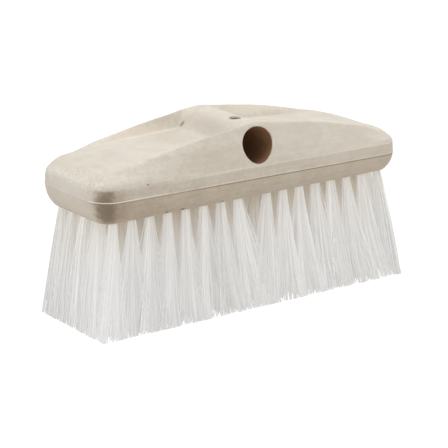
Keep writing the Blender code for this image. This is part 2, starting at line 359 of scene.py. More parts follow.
@dataclass(frozen=True)
class FoamPlastic:
    """Moulded structural foam polypropylene.

    Gas in the melt leaves faint swirls and a dry, matte skin, so the eye sees a chalky beige
    with soft clouds a few centimetres wide, long flow marks like wood grain and no clear
    reflection. The real grain is finer than a millimetre and is drawn that wide to show.
    """

    light: str = "#cdc6ba"
    deep: str = "#c6beb1"
    # Painted shade below the crease and below the parting line.
    painted_shade: str = "#e9e1d8"
    # Painted highlight on the flash and the crease, and painted shadow in the groove under the flash.
    flash: str = "#e0d9cb"
    line: str = "#86745f"
    scuff: str = "#e6e0d4"
    roughness: float = 0.62
    ior: float = 1.49
    grain_depth: float = 0.05 * MM
    grain_strength: float = 0.5

    clouds: Pattern = Pattern((22 * MM,) * 3, (0.35, 0.65), rough=0.6, twist=1.2)
    grain: Pattern = Pattern((1.1 * MM,) * 3, (0.3, 0.7), (0.965, 1.03), detail=2.0)
    streaks: Pattern = Pattern((25 * MM, 25 * MM, MM / 0.62), (0.32, 0.68), (0.88, 1.048), 4.0, 0.65, 0.6)
    mottle: Pattern = Pattern((3.6 * MM,) * 3, (0.34, 0.66), (0.945, 1.044), rough=0.6)
    scratches: Pattern = Pattern((2.6 * MM,) * 3, (0.5, 0.68), (0.0, 0.75), 4.0, 0.75, 0.8)
    ragged: Pattern = Pattern((4 * MM,) * 3, (0.32, 0.68), (0.74, 1.26), 4.0, 0.7)

    # Flow marks are weaker at the crest, the far end and the near end, and the mottle is weaker
    # on the panels and on the right.
    streaks_crest: float = 0.2
    streaks_far: float = 0.5
    streaks_end: Fade = Fade("X", -124 * MM, -110 * MM, 0.25, 1.0)
    mottle_wall: Fade = Fade("Y", 26 * MM, 31 * MM, 0.3, 1.0, middle=0.0)
    mottle_side: Fade = Fade("X", -40 * MM, 30 * MM, 1.0, 0.35)

    # Painted shade below an edge: where it begins and is full, and its share there. There is less
    # of it at the near end and on the right.
    painted_shade_crease: tuple = (1.0 * MM, -1.5 * MM, 0.55)
    painted_shade_parting: tuple = (0.0, -1.5 * MM, 0.85)
    painted_shade_end: Fade = Fade("X", -126 * MM, -115 * MM, 0.25, 1.0)
    painted_shade_side: Fade = Fade("X", -90 * MM, -20 * MM, 1.0, 0.72)

    # The knocked upper edge of the near end.
    scuff_end: Fade = Fade("X", -124 * MM, -116 * MM, 1.0, 0.0)
    scuff_height: Fade = Fade("Z", 96 * MM, 101 * MM, 0.0, 1.0)

    # Painted lines on the front: a painted shadow in the groove under the flash, a painted highlight
    # on the flash and one along the crease, and how each grows or fades to the right.
    front: Fade = Fade("Y", -27 * MM, -24.5 * MM, 1.0, 0.0)
    dark_side: Fade = Fade("X", -75 * MM, -40 * MM, 0.45, 0.8)
    flash_side: Fade = Fade("X", -95 * MM, -65 * MM, 0.8, 0.1)
    crease_side: Fade = Fade("X", -75 * MM, -35 * MM, 0.0, 0.45)
    line_core: float = 0.3

    marks_and_painted_light: tuple = (
        # Painted dark reflection on the near vertical corner: a soft halo and a darker core.
        Mark((-0.1150, -0.0395, 0.0860), (0.0150, 0.0120, 0.026), "#8d7a66", 0.45, below=0.1005),
        Mark((-0.1215, -0.0365, 0.0880), (0.0106, 0.0106, 0.032), "#6b5a47", 0.80, below=0.1005),
        # Painted light: a lighter, cooler upper part of the near end face.
        Mark((-0.1270, 0.0000, 0.0980), (0.0100, 0.0380, 0.012), "#dcd7ce", 0.30),
        # Painted shade on the hump's left flank and on the left panel at its foot.
        Mark((-0.0140, 0.0000, 0.1230), (0.0120, 0.0330, 0.012), "#a89d8e", 0.36),
        Mark((-0.0380, 0.0080, 0.1165), (0.0220, 0.0280, 0.008), "#b5ab9c", 0.40),
        # Darker on the front face left of the socket.
        Mark((-0.0400, -0.0360, 0.1080), (0.0450, 0.0080, 0.013), "#b3a692", 0.35),
        # Painted light on the hump's crest and on the back rim's inner wall, right and left.
        Mark((0.0200, -0.0180, 0.1285), (0.0240, 0.0140, 0.007), "#efe7db", 0.50),
        Mark((0.0500, 0.0316, 0.1240), (0.0600, 0.0080, 0.010), "#eee4d4", 0.50),
        Mark((-0.0550, 0.0316, 0.1160), (0.0500, 0.0080, 0.010), "#e4d9ca", 0.45),
        # Painted shade in the inner corner between the hump's flank and the back wall.
        Mark((-0.0180, 0.0265, 0.1200), (0.0032, 0.0020, 0.0048), "#8a7963", 0.85),
        Mark((-0.0600, -0.0341, 0.0790), (0.0020, 0.0020, 0.0016), "#54412f", 0.95),
        Mark((-0.0727, -0.0342, 0.0792), (0.0015, 0.0018, 0.0013), "#54412f", 0.90),
        Mark((-0.0275, -0.0341, 0.0788), (0.0015, 0.0018, 0.0013), "#6a5744", 0.90),
        Mark((-0.0906, -0.0394, 0.1013), (0.0013, 0.0013, 0.0010), "#6e5c48", 0.80),
        Mark((-0.0280, -0.0356, 0.1200), (0.0140, 0.0020, 0.0007), "#dcc6b2", 0.45),
    )
    mark_core: float = 0.25
    mark_top: tuple = (-0.6 * MM, 0.8 * MM)

    def make(self, block: "Block") -> bpy.types.Material:
        """Builds the material round the block's levels.

        Args:
            block: the block, for the heights of its parting line, crease and crest.

        Returns:
            The material.
        """
        coat = Coat("structural_foam_polypropylene", self.light, self.roughness)
        coat.shader.inputs["IOR"].default_value = self.ior
        coat.lay(coat.level(self.clouds), self.deep)
        coat.lay(1.0, coat.level(self.grain), Blend.STAIN_AND_SHADE)
        low = Fade("Z", block.crease, block.crest, 1.0, self.streaks_crest)
        near = Fade("X", -0.5 * block.length, 0.5 * block.length, 1.0, self.streaks_far)
        coat.lay(coat.share(low, near, self.streaks_end), coat.level(self.streaks), Blend.STAIN_AND_SHADE)
        coat.lay(coat.share(self.mottle_wall, self.mottle_side), coat.level(self.mottle), Blend.STAIN_AND_SHADE)
        # Painted shade below the crease and below the parting line.
        self.paint_shade_below(coat, block.crease, *self.painted_shade_crease)
        self.paint_shade_below(coat, block.parting, *self.painted_shade_parting)
        scratched = coat.share(self.scuff_end, self.scuff_height, coat.level(self.scratches))
        coat.lay(scratched, self.scuff)
        ragged = coat.level(self.ragged)
        # Nicks and a flow line, with painted reflection, painted shade and painted light.
        for mark in self.marks_and_painted_light:
            self.draw(coat, mark, ragged)
        self.rule(coat, block)
        grain = coat.noise(self.grain)
        bump = add_node(coat.tree, "Bump", {"Height": grain, "Distance": self.grain_depth,
                                            "Strength": self.grain_strength})
        coat.tree.links.new(bump.outputs[0], coat.shader.inputs["Normal"])
        return coat.finish()

    def paint_shade_below(self, coat: Coat, edge: float, begin: float, full: float, strength: float) -> None:
        """Darkens the plastic below an edge with painted shade.

        Args:
            coat: the material so far.
            edge: the edge's height.
            begin: how far from it, upwards, the tint begins.
            full: how far from it the tint is full.
            strength: its share there.
        """
        level = Fade("Z", edge + full, edge + begin, 1.0, 0.0)
        coat.lay(coat.share(self.painted_shade_end, level, self.painted_shade_side, strength), self.painted_shade, Blend.STAIN_AND_SHADE)

    def rule(self, coat: Coat, block: "Block") -> None:
        """Draws level lines: a painted shadow under the flash, a painted highlight on the flash above it,
        and a painted highlight along the crease.

        Args:
            coat: the material so far.
            block: the block, for the heights of its parting line and crease.
        """
        lines = (
            (block.parting - 0.75 * MM, 0.50 * MM, self.line, (self.front, self.dark_side)),
            (block.parting + 0.25 * MM, 0.45 * MM, self.flash, (self.front, self.flash_side)),
            (block.crease + 0.10 * MM, 0.45 * MM, self.flash, (self.crease_side,)),
        )
        for height, width, paint, where in lines:
            band = Fade("Z", self.line_core * width, width, 1.0, 0.0, middle=height)
            coat.lay(coat.share(*where, band), paint)

    def draw(self, coat: Coat, mark: Mark, ragged: bpy.types.NodeSocket) -> None:
        """Paints a mark: its share falls with the distance from its centre, in its radii.

        Args:
            coat: the material so far.
            mark: the mark.
            ragged: the level that makes its edge uneven.
        """
        scale = tuple(1 / radius for radius in mark.radii)
        off = add_node(coat.tree, "VectorMath", {0: coat.coords, 1: mark.centre}, operation="SUBTRACT")
        unit = add_node(coat.tree, "VectorMath", {0: off.outputs[0], 1: scale}, operation="MULTIPLY")
        away = add_node(coat.tree, "VectorMath", {0: unit.outputs[0]}, operation="LENGTH")
        reach = coat.share(away.outputs["Value"], ragged)
        ends = {1: self.mark_core, 2: 1.0, 3: mark.strength, 4: 0.0}
        spot = add_node(coat.tree, "MapRange", {0: reach, **ends}, interpolation_type="SMOOTHSTEP")
        start, end = (mark.below + shift for shift in self.mark_top)
        coat.lay(coat.share(spot.outputs[0], Fade("Z", start, end, 1.0, mark.over)), mark.paint)


@dataclass(frozen=True)
class PaintedLightPlastic:
    """The same plastic in one given colour, so the eye sees a dull, faintly streaked surface.

    In the bore its dark brown is painted shade, and on the mouth's rim its pale colour is a painted
    highlight.
    """

    name: str = "foam_polypropylene_bore_painted_shade"
    # Dark brown: painted shade in the bore.
    colour: str = "#8c684b"
    roughness: float = 0.8
    faint_streaks: Pattern = Pattern((6 * MM,) * 3, (0.3, 0.7), (0.85, 1.1), detail=4.0)

    def make(self) -> bpy.types.Material:
        """Builds the material.

        Returns:
            The material.
        """
        coat = Coat(self.name, self.colour, self.roughness)
        coat.lay(1.0, coat.level(self.faint_streaks), Blend.STAIN_AND_SHADE)
        return coat.finish()


@dataclass(frozen=True)
class FilamentPlastic:
    """Extruded polypropylene monofilament, half a millimetre thick.

    Each filament is a smooth, milky rod that passes light on to those behind it, so the eye
    sees satin white with long fine streaks and no black gaps. Up near the block the inner tufts
    are painted darker and warmer, as painted shade, and the edge tufts a little lighter and
    warmer, as painted light.
    """

    # Towards the block, inner tufts go to the deep colour (painted shade) and edge tufts to the root colour
    # (painted light).
    tip: str = "#e9e9e9"
    root: str = "#f1efeb"
    deep: str = "#d0c4b0"
    shade: float = 42 * MM
    roughness: float = 0.42
    ior: float = 1.49
    passing: float = 0.85

    def make(self, block: "Block") -> bpy.types.Material:
        """Builds the material.

        Args:
            block: the block, for the height of its underside.

        Returns:
            The material.
        """
        coat = Coat("polypropylene_monofilament", self.tip, self.roughness)
        coat.shader.inputs["IOR"].default_value = self.ior
        tree = coat.tree
        readers = [add_node(tree, "Attribute", attribute_name=name, attribute_type="GEOMETRY")
                   for name in ("inner", "tone")]
        inner, tone = (reader.outputs["Fac"] for reader in readers)
        shaded = add_node(tree, "Mix", {0: inner, 6: linear(self.root), 7: linear(self.deep)},
                          data_type="RGBA")
        # Painted shade and light over the last stretch below the block.
        rise = coat.along(Fade("Z", block.underside - self.shade, block.underside, 0.0, 1.0))
        coat.lay(rise, shaded.outputs[2])
        coat.lay(1.0, tone, Blend.STAIN_AND_SHADE)
        material = coat.finish()

        rays = add_node(tree, "LightPath").outputs
        bounced = add_node(tree, "Math", {0: rays["Is Shadow Ray"], 1: rays["Is Diffuse Ray"]},
                           operation="MAXIMUM")
        passed = coat.share(bounced.outputs[0], self.passing)
        clear = add_node(tree, "BsdfTransparent")
        milky = add_node(tree, "MixShader", {0: passed, 1: coat.shader.outputs[0], 2: clear.outputs[0]})
        tree.links.new(milky.outputs[0], tree.nodes["Material Output"].inputs["Surface"])
        return material


# The block


@dataclass
class Block:
    """The moulded block, its handle socket, button hole and tuft holes."""

    # Outline and levels.
    length: float = 0.254
    width: float = 0.080
    corner: float = 0.015
    underside: float = 0.0784
    parting: float = 0.0928
    crease: float = 0.1005
    crest: float = 0.1301

    # The lower side: how far it curves in, how far it hangs, its bottom edge and the mould line.
    tuck: float = 0.0072
    dip: float = 0.0002
    tilt: float = 0.0012
    draft: float = 0.0004
    bottom_edge: tuple = ((0.9 * MM, 0.0), (0.1 * MM, 0.1 * MM))
    arc_ends: tuple = (0.6 * MM, 0.9 * MM)
    arc_steps: int = 9
    flash: float = 0.00025
    seam_inset: float = 0.10 * MM
    seam_heights: tuple = (-0.45 * MM, -0.15 * MM, 0.25 * MM, 0.60 * MM)

    # The faces and rims.
    edge_run: float = 0.0016
    edge_rise: float = 0.0036
    end_rise: float = 0.0027
    ridge_inset: float = 0.0088
    bow: float = 0.0018
    fall: float = 0.0210
    arch_power: float = 1.38
    wall_run: float = 0.0034
    foot_run: float = 0.0020

    # How far each corner of the section is rounded: the crease more to the left, the ridge less
    # at the back right.
    crease_reach: tuple = (0.5 * MM, 3.4 * MM)
    crease_span: tuple = (-0.025, -0.075)
    edge_reach: float = 3.2 * MM
    ridge_reach: tuple = (2.6 * MM, 1.2 * MM)
    ridge_span_x: tuple = (-0.025, -0.015)
    ridge_span_y: tuple = (-0.010, 0.010)
    foot_reach: float = 1.2 * MM
    ease_steps: tuple = (5, 6, 8, 7)

    # The panels and the hump between them.
    hump_drop: float = 0.0133
    hump_foot: float = 0.0210
    hump_radius: float = 0.0200
    hump_sag: float = 0.0015
    panel_end: float = 0.102
    panel_blend: float = 0.0012

    # How the top warped: the lift and swell of the right half, and soft places with their x, y,
    # half widths and height.
    lift: float = 0.07
    lift_span: tuple = (0.015, 0.045)
    swell: float = 0.0008
    swell_spans: tuple = ((0.035, 0.060), (0.107, 0.097))
    uneven: tuple = (
        (0.1060, 0.0160, 0.0200, 0.0300, 0.0014),
        (0.1120, -0.0340, 0.0150, 0.0150, -0.0012),
        (-0.1020, 0.0300, 0.0150, 0.0180, -0.0012),
    )
    uneven_span: tuple = (2 * MM, 5 * MM)

    # The socket. Each of its rows has a height along the bore and a share of the egg form, which
    # makes the mouth a little fuller at the top.
    bore: float = 0.0254
    bore_depth: float = 0.045
    bore_rows: tuple = ((-0.012, 0), (-0.004, 1), (-0.0009, 1))
    mouth: tuple = (0.0, -0.03652, 0.1143)
    slope: float = math.radians(14.0)
    egg: float = 0.0005
    lip: float = 0.0006
    lip_proud: float = 0.15 * MM
    flare: tuple = (0.003, 0.006)

    # The button hole, whose rim's rows have the radius's growth and the height from the crest's
    # lowest line, and the tuft holes.
    button: float = 0.0085
    button_setback: float = 0.0110
    button_sink: float = 0.006
    button_rim: tuple = ((0.0, -1.5 * MM), (0.0, -0.6 * MM), (0.3 * MM, 0.1 * MM), (2 * MM, 4 * MM))
    hole: float = 0.0056
    hole_depth: float = 0.0055
    hole_overrun: float = 0.004

    side_steps: int = 160
    end_steps: int = 24
    corner_steps: int = 12
    cross_steps: int = 28
    bore_steps: int = 72
    button_steps: int = 36
    hole_steps: int = 20
    sharp: float = math.radians(32)

    def ridge(self, x: np.ndarray) -> np.ndarray:
        """Height of the rims: crest - fall * (|x| / half length of the ridge) ** power."""
        reach = self.length / 2 - self.ridge_inset
        return self.crest - self.fall * (np.abs(x) / reach) ** self.arch_power

    def panel(self, x: np.ndarray) -> np.ndarray:
        """Height at the rims' foot: a circle, its tangent, a straight panel, then the ridge.

        Args:
            x: places along the block.

        Returns:
            The heights there.
        """
        away = np.abs(x)
        rise = self.hump_drop - self.hump_radius
        reach = math.hypot(self.hump_foot, rise)
        angle = math.atan2(rise, self.hump_foot) + math.asin(self.hump_radius / reach)
        end = self.hump_radius * math.sin(angle)
        circle = np.sqrt(self.hump_radius**2 - np.minimum(away, end) ** 2)
        flank = self.crest - self.hump_radius + circle - np.maximum(away - end, 0) * math.tan(angle)
        foot = self.crest - self.hump_drop
        grade = (self.ridge(self.panel_end) - foot) / (self.panel_end - self.hump_foot)
        flat = foot + grade * (away - self.hump_foot)
        blend = self.panel_blend
        low = np.maximum(flank, flat) + blend / 4 * np.maximum(1 - np.abs(flank - flat) / blend, 0) ** 2
        return np.where(away < self.panel_end, low, self.ridge(x))

    def crown(self, x: np.ndarray) -> np.ndarray:
        """Height of the ridge's control points: the right half is lifted and swells a little.

        Args:
            x: places along the block.

        Returns:
            The heights there.
        """
        lifted = ramp(x, *self.lift_span)
        swollen = ramp(x, *self.swell_spans[0]) * ramp(x, *self.swell_spans[1])
        return self.ridge(x) + self.lift * lifted * (self.ridge(x) - self.panel(x)) + self.swell * swollen

    def drop(self, x: np.ndarray) -> np.ndarray:
        """How far the moulding hangs below its nominal underside: dip - tilt * x / half length."""
        return self.dip - self.tilt * x / (self.length / 2)

    def stations(self) -> tuple[np.ndarray, np.ndarray]:
        """Where the skin's rings have their points, anticlockwise from the front left.

        A point at inset i is centre + (corner - i) * (cos a, sin a): on a straight side the
        centre moves and the angle a stays, and at a corner the angle turns by a quarter.

        Returns:
            The centres, as rows of x and y, and the angles.
        """
        half_x, half_y = self.length / 2 - self.corner, self.width / 2 - self.corner
        along = np.linspace(-half_x, half_x, self.side_steps + 1)
        across = np.linspace(-half_y, half_y, self.end_steps + 1)
        turn = np.linspace(0, math.pi / 2, self.corner_steps + 1)[1:-1]
        sides = [(along, -half_y), (half_x, across), (-along, half_y), (-half_x, -across)]
        corners = [(half_x, -half_y), (half_x, half_y), (-half_x, half_y), (-half_x, -half_y)]
        centres, angles = [], []
        for number, ((x, y), corner) in enumerate(zip(sides, corners)):
            start = (number - 1) * math.pi / 2
            centres += [np.stack(np.broadcast_arrays(x, y), 1), np.tile(corner, (len(turn), 1))]
            angles += [np.full(np.size(x) * np.size(y), start), start + turn]
        return np.concatenate(centres), np.concatenate(angles)

    def section(self, centres: np.ndarray, angles: np.ndarray) -> np.ndarray:
        """Inset and height of each ring at each station, from the underside up and over.

        The lower side is the circle inset = r - sqrt(r^2 - depth^2), upright at the parting
        line and stretched to where the moulding hangs. Above it a polyline runs over the
        crease, the edge, the ridge and the rim's foot, with each corner eased by a quadratic
        curve.

        Args:
            centres: the stations' centres.
            angles: the stations' angles.

        Returns:
            An array of rings by stations by inset and height.
        """
        bow = self.bow * np.maximum(1 - (centres[:, 0] / (self.length / 2 - self.corner)) ** 2, 0)
        side = self.parting - self.underside
        radius = (side**2 + self.tuck**2) / (2 * self.tuck)

        def at(inset: float | np.ndarray, height: float | Callable) -> np.ndarray:
            """Makes one control point for each station.

            Args:
                inset: how far inside the outline.
                height: a height, or a function that gives it from x.

            Returns:
                Rows of inset and height.
            """
            insets = np.broadcast_to(inset, angles.shape)
            x = centres[:, 0] + (self.corner - insets) * np.cos(angles)
            z = height(x) if callable(height) else np.full(angles.shape, height)
            return np.stack([insets, z], 1)

        def edge(x: np.ndarray) -> np.ndarray:
            """The face's straight rule, or the rounded edge's height where that is more.

            Args:
                x: places along the block.

            Returns:
                The heights there.
            """
            ruled = self.crease + (self.ridge(x) - self.crease) * self.edge_run / self.ridge_inset
            rise = self.edge_rise + (self.end_rise - self.edge_rise) * np.abs(np.cos(angles))
            return np.maximum(ruled, self.crease + rise)

        def low(depth: float) -> Callable:
            """Heights at a depth below the parting line, stretched by how far the underside hangs."""
            return lambda x: self.parting - depth * (1 + self.drop(x) / side)

        start = [at(self.tuck + inset, low(side - rise)) for inset, rise in self.bottom_edge]
        depths = np.linspace(side - self.arc_ends[0], self.arc_ends[1], self.arc_steps)
        arc = [at(radius - math.sqrt(radius**2 - d * d), low(d)) for d in depths]
        insets = (self.seam_inset, -self.flash, -self.flash, 0.0)
        seam = [at(inset, self.parting + height) for inset, height in zip(insets, self.seam_heights)]

        crease = at(self.draft, self.crease)
        brow = at(self.edge_run - bow * self.edge_run / self.ridge_inset, edge)
        crown = at(self.ridge_inset - bow, self.crown)
        foot = at(self.ridge_inset + self.wall_run - bow, self.panel)
        inner = at(self.ridge_inset + self.wall_run + self.foot_run - bow, self.panel)
        left = ramp(centres[:, :1], *self.crease_span)
        back_right = ramp(centres[:, :1], *self.ridge_span_x) * ramp(centres[:, 1:], *self.ridge_span_y)
        corners = (seam[-1], crease, brow, crown, foot, inner)
        reaches = (self.crease_reach[0] + self.crease_reach[1] * left, self.edge_reach,
                   self.ridge_reach[0] - self.ridge_reach[1] * back_right, self.foot_reach)
        rings = start + arc + seam
        for number, (reach, steps) in enumerate(zip(reaches, self.ease_steps)):
            rings += self.ease(*corners[number : number + 3], reach, steps)
        return np.stack(rings + [inner])

    @staticmethod
    def ease(before: np.ndarray, corner: np.ndarray, after: np.ndarray, reach: float | np.ndarray,
             steps: int) -> list:
        """Quadratic curve (1-t)^2 a + 2t(1-t) c + t^2 b that rounds a corner c.

        Args:
            before: the control point before the corner.
            corner: the corner.
            after: the control point after it.
            reach: how far along each leg the rounding begins, at most 45 % of the leg.
            steps: steps along the curve.

        Returns:
            The points at each step.
        """
        legs = []
        for other in (before, after):
            leg = other - corner
            size = np.maximum(np.linalg.norm(leg, axis=1, keepdims=True), 1e-9)
            legs.append(corner + leg * np.minimum(reach / size, 0.45))
        shares = np.linspace(0, 1, steps + 1)
        return [(1 - t) ** 2 * legs[0] + 2 * t * (1 - t) * corner + t * t * legs[1] for t in shares]

    def settle(self, points: np.ndarray) -> None:
        """Lifts or lowers the top a little in places, as the moulding came out of its mould.

        A place with its middle, half widths and height lifts the points that lie above the
        edge by height * (1 - r^2)^2, where r is the distance in half widths.

        Args:
            points: rows of x, y and z, which are changed.
        """
        start, end = (self.crease + height for height in self.uneven_span)
        above = ramp(points[..., 2], start, end)
        for x, y, wide, deep, height in self.uneven:
            far = ((points[..., 0] - x) / wide) ** 2 + ((points[..., 1] - y) / deep) ** 2
            points[..., 2] += above * height * np.maximum(1 - far, 0) ** 2

    def skin(self) -> bpy.types.Object:
        """Lofts the rings and closes them with the panels, the ends and the underside.

        Between the rims the hump's crest sags by 0.59 (1 - s^2) (1 - s)^2 times its most,
        where s runs from -1 at the front to 1 at the back.

        Returns:
            The closed block without its holes.
        """
        centres, angles = self.stations()
        section = self.section(centres, angles)
        plan = centres + (self.corner - section[:, :, :1]) * unit_circle(angles)
        loft = np.concatenate([plan, section[:, :, 1:]], 2)
        rings, count = loft.shape[:2]
        faces = grid_faces(rings, count, True).tolist()
        faces.append(list(range(count))[::-1])

        stride = self.side_steps + 1
        back_start = stride + 2 * (self.corner_steps - 1) + self.end_steps + 1
        last = (rings - 1) * count
        front = last + np.arange(stride)
        back = last + back_start + np.arange(stride)[::-1]
        near, far = loft[-1, :stride], loft[-1, back_start : back_start + stride][::-1]
        share = np.linspace(-1, 1, self.cross_steps + 1)[1:-1, None, None]
        middle = near + (far - near) * (share + 1) / 2
        along = np.maximum(1 - (near[:, 0] / self.hump_foot) ** 2, 0)
        across = share[:, :, 0]
        middle[:, :, 2] -= self.hump_sag * along * 0.59 * (1 - across**2) * (1 - across) ** 2
        added = rings * count + np.arange(middle.shape[0] * stride).reshape(-1, stride)
        numbers = np.concatenate([front[None], added, back[None]])
        quads = np.stack([numbers[:-1, :-1], numbers[:-1, 1:], numbers[1:, 1:], numbers[1:, :-1]], -1)
        faces += quads.reshape(-1, 4).tolist()
        ring = last + np.arange(count)
        faces.append(ring[stride:back_start].tolist() + numbers[::-1, -1].tolist())
        faces.append(ring[back_start + stride :].tolist() + numbers[:, 0].tolist())
        points = np.concatenate([loft.reshape(-1, 3), middle.reshape(-1, 3)])
        self.settle(points)
        item = mesh_object("block_body", points, faces)
        face_outwards(item)
        return item

    def turned(self, name: str, profile: list, place: Matrix, steps: int, lip_row: int) -> bpy.types.Object:
        """A closed turned cutter: radius and height at each point of a profile, carried round.

        The radius at angle a is r + egg * 2.6 * sin a * cos^2 a * share, which widens the
        upper half and narrows the lower one where a profile point has a share.

        Args:
            name: the cutter's name.
            profile: rows of radius, height and share of the egg form.
            place: where the cutter's own axes lie.
            steps: steps round the circle.
            lip_row: the first profile point of the lip, which has a finish of its own.

        Returns:
            The cutter.
        """
        rows = np.array(profile)
        turn = full_turn(steps)
        form = 2.6 * np.sin(turn) * np.cos(turn) ** 2
        radius = rows[:, :1] + self.egg * rows[:, 2:] * form
        height = np.broadcast_to(rows[:, 1:2], radius.shape)
        points = np.concatenate([radius[..., None] * unit_circle(turn), height[..., None]], -1)
        faces = grid_faces(len(rows), steps, True).tolist()
        faces.append(list(range(steps))[::-1])
        faces.append(list(range((len(rows) - 1) * steps, len(rows) * steps)))
        item = mesh_object(name, points, faces)
        band = np.minimum(np.arange(len(faces)) // steps, len(rows))
        item.data.polygons.foreach_set("material_index", (band >= lip_row).astype(np.int32))
        item.data.transform(place)
        face_outwards(item)
        return item

    def socket_cutter(self) -> bpy.types.Object:
        """The bore and the narrow lip round its mouth.

        The lip's points are radius + lip (1 - sin a) and proud - lip cos a, for a quarter turn.

        Returns:
            The cutter.
        """
        radius = self.bore / 2
        rim = radius + self.lip
        profile = [(radius, -self.bore_depth, 0)]
        profile += [(radius, height, share) for height, share in self.bore_rows]
        profile += [(radius + self.lip * (1 - math.sin(a)), self.lip_proud - self.lip * math.cos(a), 1)
                    for a in np.linspace(math.pi / 2, 0, 5)[:-1]]
        profile += [(rim, self.lip_proud, 1), (rim + self.flare[0], self.flare[1], 1)]
        place = Matrix.Translation(self.mouth) @ Matrix.Rotation(math.pi / 2 - self.slope, 4, "X")
        return self.turned("socket_cutter", profile, place, self.bore_steps, len(self.bore_rows))

    def button_cutter(self) -> bpy.types.Object:
        """The upright button hole from the hump's crest into the bore.

        Returns:
            The cutter.
        """
        radius = self.button / 2
        top = self.crest - self.hump_sag
        profile = [(radius, self.mouth[2] - self.button_sink, 0)]
        profile += [(radius + growth, top + height, 0) for growth, height in self.button_rim]
        place = Matrix.Translation((0, -self.button_setback, 0))
        return self.turned("button_cutter", profile, place, self.button_steps, 1)

    def hole_cutter(self, places: np.ndarray) -> bpy.types.Object:
        """All tuft holes as one cutter: circles at two heights, joined by a wall and closed.

        Args:
            places: rows of x and y.

        Returns:
            The cutter.
        """
        steps = self.hole_steps
        ring = unit_circle(full_turn(steps)) * self.hole / 2
        flat = places[:, None, None, :] + ring
        levels = np.array([self.underside - self.hole_overrun, self.underside + self.hole_depth])
        height = np.broadcast_to(levels[None, :, None, None], (len(places), 2, steps, 1))
        points = np.concatenate([np.broadcast_to(flat, (len(places), 2, steps, 2)), height], -1)
        first = np.arange(len(places))[:, None, None] * 2 * steps
        walls = (grid_faces(2, steps, True)[None] + first).reshape(-1, 4).tolist()
        low = (np.arange(steps)[::-1][None] + first[:, 0]).tolist()
        high = (np.arange(steps, 2 * steps)[None] + first[:, 0]).tolist()
        item = mesh_object("hole_cutter", points, walls + low + high)
        face_outwards(item)
        return item

    def build(self, places: np.ndarray) -> bpy.types.Object:
        """Makes the block and cuts its socket and holes.

        Args:
            places: the tuft holes, as rows of x and y.

        Returns:
            The finished block.
        """
        item = self.skin()
        # The bore's dark brown is painted shade, and the mouth's pale rim is a painted highlight.
        plastic, bore = FoamPlastic().make(self), PaintedLightPlastic().make()
        rim = PaintedLightPlastic("foam_polypropylene_rim_painted_highlight", "#e9e0d0", 0.6).make()
        item.data.materials.append(plastic)
        cutters = [(self.socket_cutter(), rim), (self.button_cutter(), plastic),
                   (self.hole_cutter(places), plastic)]
        for cutter, lip in cutters:
            cutter.data.materials.append(bore)
            cutter.data.materials.append(lip)
            step = item.modifiers.new(cutter.name, "BOOLEAN")
            step.operation = "DIFFERENCE"
            step.solver = "EXACT"
            step.material_mode = "TRANSFER"
            step.object = cutter
        graph = bpy.context.evaluated_depsgraph_get()
        mesh = bpy.data.meshes.new_from_object(item.evaluated_get(graph))
        item.modifiers.clear()
        item.data = mesh
        mesh.name = "block_body"
        for cutter, _ in cutters:
            bpy.data.objects.remove(cutter)
        mesh.shade_smooth()
        mesh.set_sharp_from_angle(angle=self.sharp)
        return item

    def dress(self, item: bpy.types.Object) -> None:
        """Puts the finished block in the frame in place of the plain one.

        Args:
            item: the finished block.
        """
        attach(item, "root")
        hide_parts("block")


# The tufts


